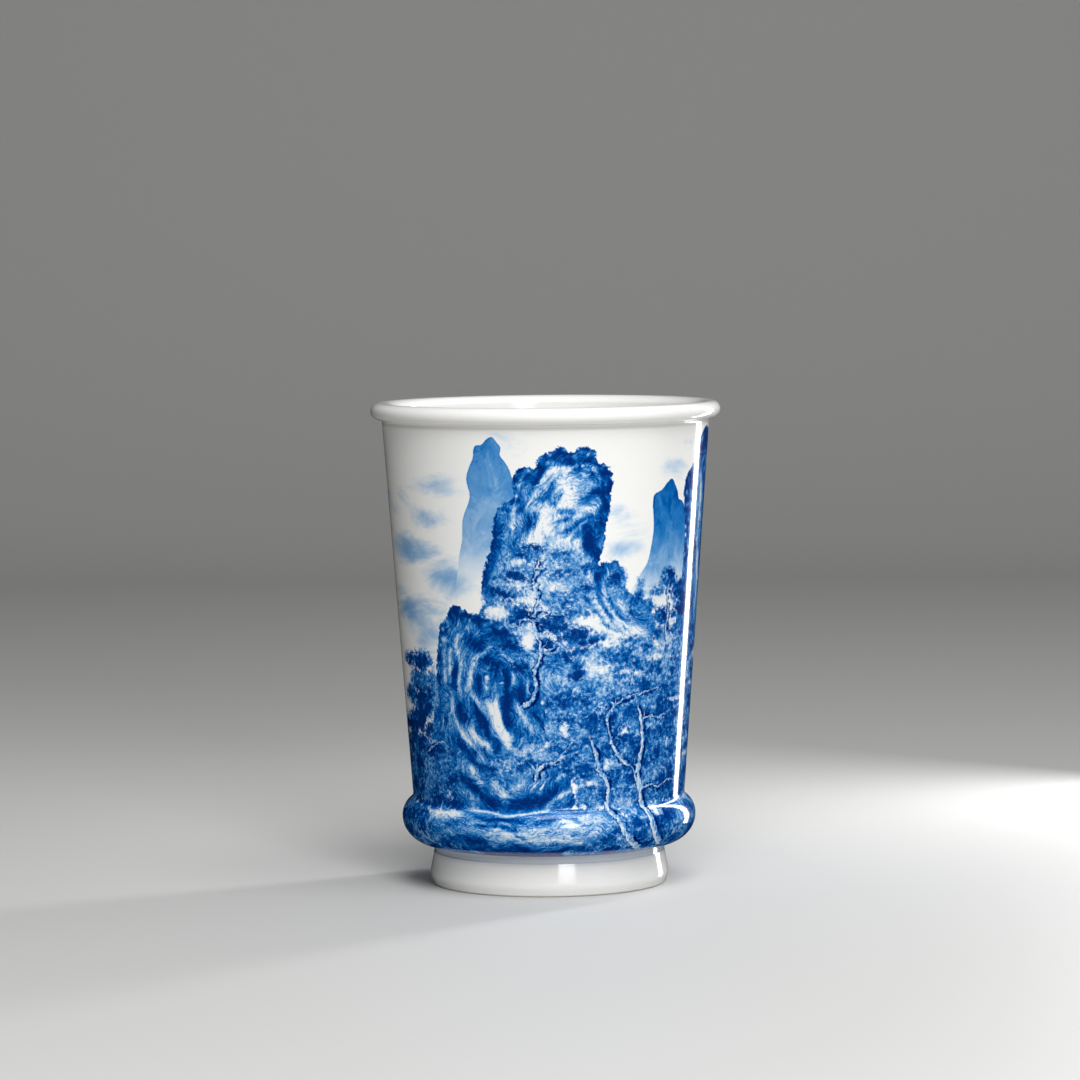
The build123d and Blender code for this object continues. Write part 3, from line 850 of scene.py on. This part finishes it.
def painted_glaze(name):
    """Underglaze cobalt under clear gloss glaze.  The design's attributes give broad shapes, and
    noise gives each its brushwork; the layers go on from the sky forwards as shares of ink."""
    material, shader, node, place = glaze(name)

    def calc(operation, *values, clamp=False):
        return node(
            "ShaderNodeMath", dict(enumerate(values)), operation=operation, use_clamp=clamp
        ).outputs[0]

    def vector(operation, *values, output=0):
        made = node("ShaderNodeVectorMath", dict(enumerate(values)), operation=operation)
        return made.outputs[output]

    def step(value, low, high, start=0.0, end=1.0):
        ports = dict(enumerate([value, low, high, start, end]))
        return node("ShaderNodeMapRange", ports, interpolation_type="SMOOTHSTEP").outputs[0]

    def noise(place, scale, detail, roughness, distortion=0.0):
        ports = {"Vector": place, "Scale": scale, "Detail": detail}
        ports |= {"Roughness": roughness, "Distortion": distortion}
        return node("ShaderNodeTexNoise", ports).outputs["Fac"]

    def over(below, above, cover):
        return node("ShaderNodeMix", {0: cover, 2: below, 3: above}, data_type="FLOAT").outputs[0]

    def channels(name):
        source = node("ShaderNodeAttribute", {}, attribute_name=name).outputs["Vector"]
        return node("ShaderNodeSeparateXYZ", {0: source}).outputs

    def about(value, middle=0.5, gain=1.0):
        """(value - middle) * gain"""
        return calc("MULTIPLY_ADD", value, gain, -middle * gain)

    def swayed(base, *sways):
        """The base, plus (value - a half) * gain for each value and its gain."""
        for value, gain in sways:
            base = calc("ADD", base, about(value, gain=gain))
        return base

    # Unevenness of the hand: lumps of about 2.4 mm, then 0.7 mm, then 0.3 mm
    lumps = noise(place, 0.42, 3, 0.6)
    fine = noise(place, 1.5, 3, 0.65)
    grain = noise(place, 3.4, 2, 0.6)

    # Sky: drifts of the palest wash
    far_edge, far_tone, mist = channels("far_peaks")
    drift = noise(vector("MULTIPLY", place, (0.045, 0.045, 0.12)), 1.0, 6, 0.62, 0.5)
    ink = step(calc("ADD", drift, about(mist, 1.0, 0.40)), 0.22, 0.64, 0.0, 0.36)

    # Far peaks: a flat wash with a crisp edge, its tone drifting a little
    edge = swayed(far_edge, (fine, 0.5))
    wash = noise(vector("MULTIPLY", place, (0.16, 0.16, 0.10)), 1.0, 5, 0.6, 1.2)
    tone = calc("MULTIPLY", far_tone, calc("MULTIPLY_ADD", wash, 1.1, 0.45))
    fold = noise(vector("MULTIPLY", place, (0.13, 0.13, 0.07)), 1.0, 3, 0.55, 1.0)
    fold = step(calc("ABSOLUTE", about(fold, 0.5)), 0.0, 0.012, 1.12, 1.0)
    rim = step(edge, 0.0, 0.7, 1.12, 1.0)
    tone = calc("MULTIPLY", calc("MULTIPLY", tone, fold), rim)
    ink = over(ink, tone, calc("MULTIPLY", step(edge, -0.14, 0.14), step(far_tone, 0.0, 0.12)))

    # Rocks: strokes that run round each rock's own rings, and leafy lumps along its crown
    rock_edge, rock_tone, painted = channels("rocks")
    across, crown = channels("brush_flow")[:2]
    across = swayed(across, (noise(place, 0.07, 3, 0.6), 16.0))

    def strokes(width, length, detail, distortion=0.0):
        """Noise in four dimensions, whose fourth is the distance across the brush's flow: it
        changes over the width across the flow, and over the length along it."""
        ports = {"Vector": place, "W": calc("MULTIPLY", across, length / width)}
        ports |= {"Scale": 1 / length, "Detail": detail, "Roughness": 0.6}
        ports |= {"Distortion": distortion}
        return node("ShaderNodeTexNoise", ports, noise_dimensions="4D").outputs["Fac"]

    broad = strokes(1.7, 8.0, 3, 0.3)
    hair = strokes(0.42, 3.2, 3)
    vein = step(calc("ABSOLUTE", about(strokes(1.9, 7.0, 2, 0.5))), 0.003, 0.022, 1.0, 0.0)
    cells = node("ShaderNodeTexVoronoi", {"Vector": place, "Scale": 0.55}, feature="SMOOTH_F1")
    lump = calc("MULTIPLY", about(cells.outputs["Distance"], gain=1.9), crown)
    tone = swayed(rock_tone, (broad, 0.9), (hair, 1.2), (fine, 0.7))
    tone = calc("MULTIPLY_ADD", vein, 0.24, tone)
    tone = calc("ADD", tone, lump)
    tone = calc("SMOOTH_MIN", tone, 0.94, 0.25)
    tone = calc("MAXIMUM", tone, 0.03)
    edge = swayed(rock_edge, (lumps, 2.4), (fine, 1.6))
    ink = over(ink, tone, step(edge, -0.2, 0.25))

    # Foliage: boughs that are dark at heart and pale at the rim, with star-shaped tufts over them
    leaf_edge, leaf_tone, bare = channels("foliage")
    outward = vector("NORMALIZE", vector("MULTIPLY", place, (1, 1, 0)))
    sideways = vector("CROSS_PRODUCT", outward, (0, 0, 1))

    def tufts(scale, rays):
        """A tuft round each cell's point: its reach swells and shrinks with the sine of the angle,
        as many times round as it has rays, and the cell's own colour turns it by chance."""
        cells = node("ShaderNodeTexVoronoi", {"Vector": place, "Scale": scale})
        away = vector("SUBTRACT", place, cells.outputs["Position"])
        x = vector("DOT_PRODUCT", away, sideways, output=1)
        y = node("ShaderNodeSeparateXYZ", {0: away}).outputs[2]
        flat = node("ShaderNodeCombineXYZ", {0: x, 1: y}).outputs[0]
        gap = calc("MULTIPLY", vector("LENGTH", flat, output=1), scale)
        angle = calc("ARCTAN2", y, x)
        chance = node("ShaderNodeSeparateColor", {0: cells.outputs["Color"]}).outputs[0]
        phase = calc("MULTIPLY", chance, 6.28)
        ray = calc("SINE", calc("MULTIPLY_ADD", angle, rays, phase))
        slow_ray = calc("SINE", calc("MULTIPLY_ADD", angle, rays // 2 - 1, phase))
        reach = calc("MULTIPLY_ADD", ray, 0.16, 0.42)
        reach = calc("MULTIPLY_ADD", slow_ray, 0.08, reach)
        return step(calc("SUBTRACT", reach, gap), -0.10, 0.16)

    tuft = calc("MAXIMUM", tufts(0.40, 11), tufts(0.62, 9))
    wisp = node("ShaderNodeTexNoise", {"Vector": place, "Scale": 0.35, "Detail": 3}).outputs["Color"]
    wisp = vector("MULTIPLY", wisp, (6, 6, 6))
    warped = vector("ADD", vector("MULTIPLY", place, (1, 1, 1.6)), wisp)
    ports = {"Vector": warped, "Scale": 0.17, "Smoothness": 0.25}
    bough = node("ShaderNodeTexVoronoi", ports, feature="SMOOTH_F1").outputs["Distance"]
    bough = swayed(bough, (tuft, -0.16), (lumps, 0.5))
    clump = step(bough, 0.18, 0.72, 1.12, 0.56)
    leaves = noise(place, 1.05, 2, 0.75)
    edge = swayed(leaf_edge, (lumps, 1.8), (tuft, 1.2), (fine, 1.4))
    cover = step(edge, -0.7, 0.6)
    tone = calc("MULTIPLY", leaf_tone, clump)
    tone = calc("MULTIPLY", tone, step(leaf_edge, -0.6, 1.8, 0.62, 1.0))
    tone = calc("MULTIPLY_ADD", step(leaves, 0.38, 0.64), 0.28, calc("ADD", tone, -0.14))
    tone = calc("MULTIPLY_ADD", tuft, 0.16, tone)
    tone = swayed(tone, (noise(place, 0.055, 2, 0.6), 0.9), (grain, 0.6))
    tone = calc("SMOOTH_MIN", tone, 0.92, 0.2)
    tone = calc("MAXIMUM", tone, 0.16)
    ink = over(ink, tone, cover)

    # Gaps between the boughs, where the bare glaze shows
    bare = swayed(bare, (tuft, -0.3), (lumps, -1.0), (leaves, -0.6))
    ink = calc("MULTIPLY", ink, step(bare, 0.12, 0.92, 1.0, 0.04))

    # Trunks: pale gnarled bark between broken dark lines, heavier on the shaded right
    offset, half = channels("trunks")[:2]
    offset = swayed(offset, (noise(place, 0.5, 3, 0.65), 2.6), (fine, 0.7))
    inside = calc("SUBTRACT", half, calc("ABSOLUTE", offset))
    bark = noise(vector("MULTIPLY", place, (1.6, 1.6, 0.6)), 1.0, 3, 0.7)
    bark = calc("ADD", calc("MULTIPLY_ADD", bark, 1.6, -0.50), calc("MULTIPLY", offset, 0.24))
    shown = step(calc("ADD", leaves, calc("MULTIPLY", half, 0.5)), 0.55, 0.68)
    ink = over(ink, calc("MAXIMUM", bark, 0.06), calc("MULTIPLY", step(inside, -0.10, 0.12), shown))
    line_width = calc("MULTIPLY_ADD", offset, 0.16, 0.32)
    rim = calc("SUBTRACT", line_width, calc("ABSOLUTE", calc("ADD", inside, 0.12)))
    rim = calc("MULTIPLY", step(rim, -0.06, 0.10), step(lumps, 0.40, 0.52))
    rim = calc("MULTIPLY", rim, calc("MULTIPLY", step(half, 0.10, 0.45), shown))
    ink = over(ink, 1.0, rim)

    # Cobalt: from bare glaze, through pale washes, to the deepest blue
    ink = calc("MULTIPLY", ink, painted, clamp=True)
    colours = node("ShaderNodeValToRGB", {0: ink})
    ramp = colours.color_ramp
    ramp.elements[0].position, ramp.elements[0].color = 0.0, (0.84, 0.84, 0.82, 1)
    ramp.elements[1].position, ramp.elements[1].color = 1.0, (0.0, 0.008, 0.10, 1)
    for position, colour in [
        (0.12, (0.58, 0.68, 0.78, 1)),
        (0.28, (0.32, 0.49, 0.70, 1)),
        (0.42, (0.105, 0.30, 0.59, 1)),
        (0.55, (0.018, 0.18, 0.50, 1)),
        (0.68, (0.0, 0.105, 0.385, 1)),
        (0.82, (0.0, 0.048, 0.25, 1)),
    ]:
        ramp.elements.new(position).color = colour
    material.node_tree.links.new(colours.outputs[0], shader.inputs["Base Color"])
    return material


painted_blue = painted_glaze("painted_glaze")
tapered_wall.data.materials.append(painted_blue)
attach(tapered_wall, "root")
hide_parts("tapered_wall")

# ---------------------------------------------------------------------------------------------
# Base roll: the swollen band under the wall, thrown hollow.  The painted shore, its rocks and
# its water run on over it from the wall.
# ---------------------------------------------------------------------------------------------
roll_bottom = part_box("base_roll")[0].z / MM
widest_z, widest_radius = 19.6, 42.1
under_radius, upper_radius, upper_height = 33.4, 36.0, 6.3
crease_z, crease_cove, crease_turn = 26.0, 1.8, 53
crease_radius = taper(crease_z)
roll_columns = 600

under_reach = (widest_radius - under_radius, widest_z - roll_bottom)
upper_reach = (widest_radius - upper_radius, upper_height)
crease_reach = (crease_cove, crease_cove)
roll_outside = np.concatenate(
    [
        oval((under_radius, widest_z), under_reach, -90, 0, 36),
        oval((upper_radius, widest_z), upper_reach, 0, crease_turn, 16)[1:],
        oval((crease_radius + crease_cove, crease_z), crease_reach, 180 + crease_turn, 180, 7),
        line((crease_radius, crease_z), (taper(wall_seam), wall_seam), 11)[1:],
    ]
)
roll_section = np.concatenate(
    [
        roll_outside,
        line((taper(wall_seam), wall_seam), (wall_step, wall_seam), 3)[1:],
        line((wall_step, wall_seam), (wall_step, tongue_low), 3)[1:],
        line((wall_step, tongue_low), (bore(tongue_low), tongue_low), 3)[1:],
        well[well[:, 1] < tongue_low],
        line((floor_edge, floor_top), (floor_edge, roll_bottom), 3)[1:],
        line((floor_edge, roll_bottom), (under_radius, roll_bottom), 5)[1:-1],
    ]
)
base_roll = turned("base_roll_painted", roll_section, roll_columns)

# The design's height goes on down the roll's curve by its length
steps_down = np.hypot(*np.diff(roll_outside, axis=0).T)
roll_heights = wall_seam - np.concatenate([np.cumsum(steps_down[::-1])[::-1], [0]])
paint(base_roll, unroll(roll_heights, roll_columns), len(roll_outside) * roll_columns)
base_roll.data.materials.append(painted_blue)
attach(base_roll, "root")
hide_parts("base_roll")

# ---------------------------------------------------------------------------------------------
# Floor disc: the white bottom of the brush well, a thrown disc with a plug under it.  The plug
# sits in the foot ring, and the disc's edge is luted to the base roll.
# ---------------------------------------------------------------------------------------------
floor_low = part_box("floor_disc")[0].z / MM
plug = 26.8  # radius of the part that sits in the foot ring
floor_section = np.concatenate(
    [
        line((0, floor_low), (plug, floor_low), 20),
        line((plug, floor_low), (plug, roll_bottom), 3)[1:],
        line((plug, roll_bottom), (floor_edge, roll_bottom), 3)[1:],
        line((floor_edge, roll_bottom), (floor_edge, floor_top), 3)[1:],
        line((floor_edge, floor_top), (0, floor_top), 24)[1:],
    ]
)
floor_disc = turned("floor_disc_glazed", floor_section, 240)
floor_disc.data.materials.append(white_glaze)
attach(floor_disc, "root")
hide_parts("floor_disc")

# ---------------------------------------------------------------------------------------------
# Foot ring: the white ring that the pot stands on, thrown, turned hollow under the floor and
# luted beneath the base roll.  The flat band that it rests on has no glaze.
# ---------------------------------------------------------------------------------------------
recess, rest_inner, rest_outer, foot_widest = 28.7, 30.2, 33.4, 34.3
neck, shoulder, shoulder_z = 32.7, 33.1, 9.3
foot_section = rounded(
    (plug, roll_bottom, 0),
    (plug, floor_low, 0),
    (recess, floor_low, 1.5),
    (rest_inner, 0, 0.5),
    (rest_outer, 0, 0.9),
    (foot_widest, 2.8, 4.0),
    (shoulder, shoulder_z, 0),
    (neck, shoulder_z, 0),
    (neck, roll_bottom, 0),
)
foot_ring = turned("foot_ring_glazed", foot_section, 360)
foot_ring.data.materials.append(white_glaze)
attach(foot_ring, "root")
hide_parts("foot_ring")
